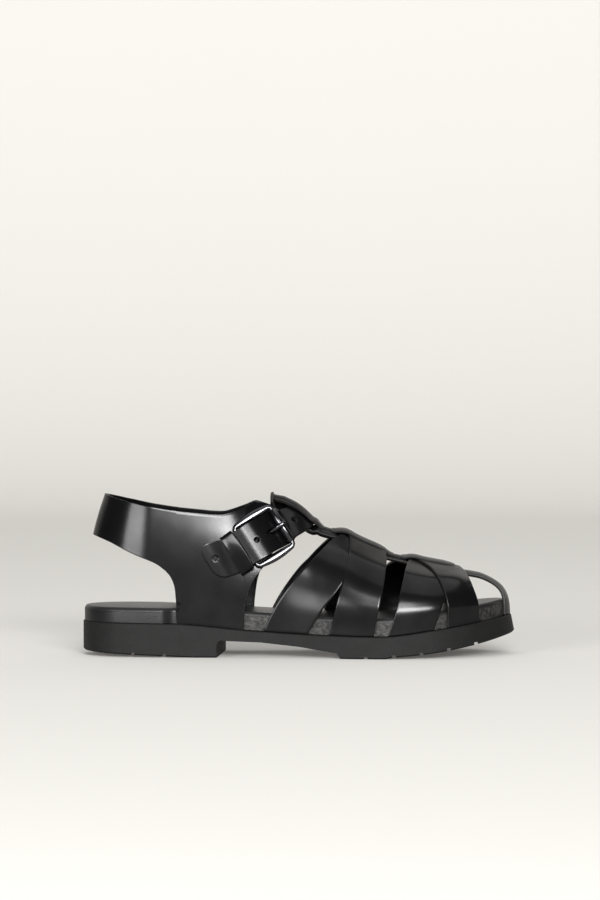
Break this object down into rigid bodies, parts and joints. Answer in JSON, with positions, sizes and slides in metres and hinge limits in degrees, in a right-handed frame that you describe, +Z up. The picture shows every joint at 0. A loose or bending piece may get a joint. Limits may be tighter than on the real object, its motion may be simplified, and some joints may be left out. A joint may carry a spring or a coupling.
{
  "type": "fisherman sandal",
  "caption": "Flat leather sandal with woven crossed straps, a closed instep strap with a roller buckle, an open heel and a one-piece rubber sole.",
  "frame": {"origin": "middle of the sole's outline seen from above, on the floor", "axes": "+X towards the toe, -Y towards the outer side with the buckle, +Z up"},
  "size_m": [0.2678, 0.0944, 0.1007],
  "materials": {
    "sole_rubber": "matt dark grey moulded rubber, slightly rough",
    "footbed_wrap": "soft black leather wrapped round the footbed",
    "insole_leather": "smooth black lining leather with a low sheen",
    "strap_leather": "glossy black smooth leather with a fine grain",
    "black_nickel": "black nickel plating, polished"
  },
  "bodies": {
    "root": {"outsole": "sole_rubber", "midsole": "footbed_wrap", "insole": "insole_leather", "upper": "strap_leather", "quarter": "strap_leather", "keeper": "strap_leather", "buckle_loop": "strap_leather", "buckle_frame": "black_nickel", "buckle_roller": "black_nickel", "buckle_prong": "black_nickel"}
  },
  "joints": []
}
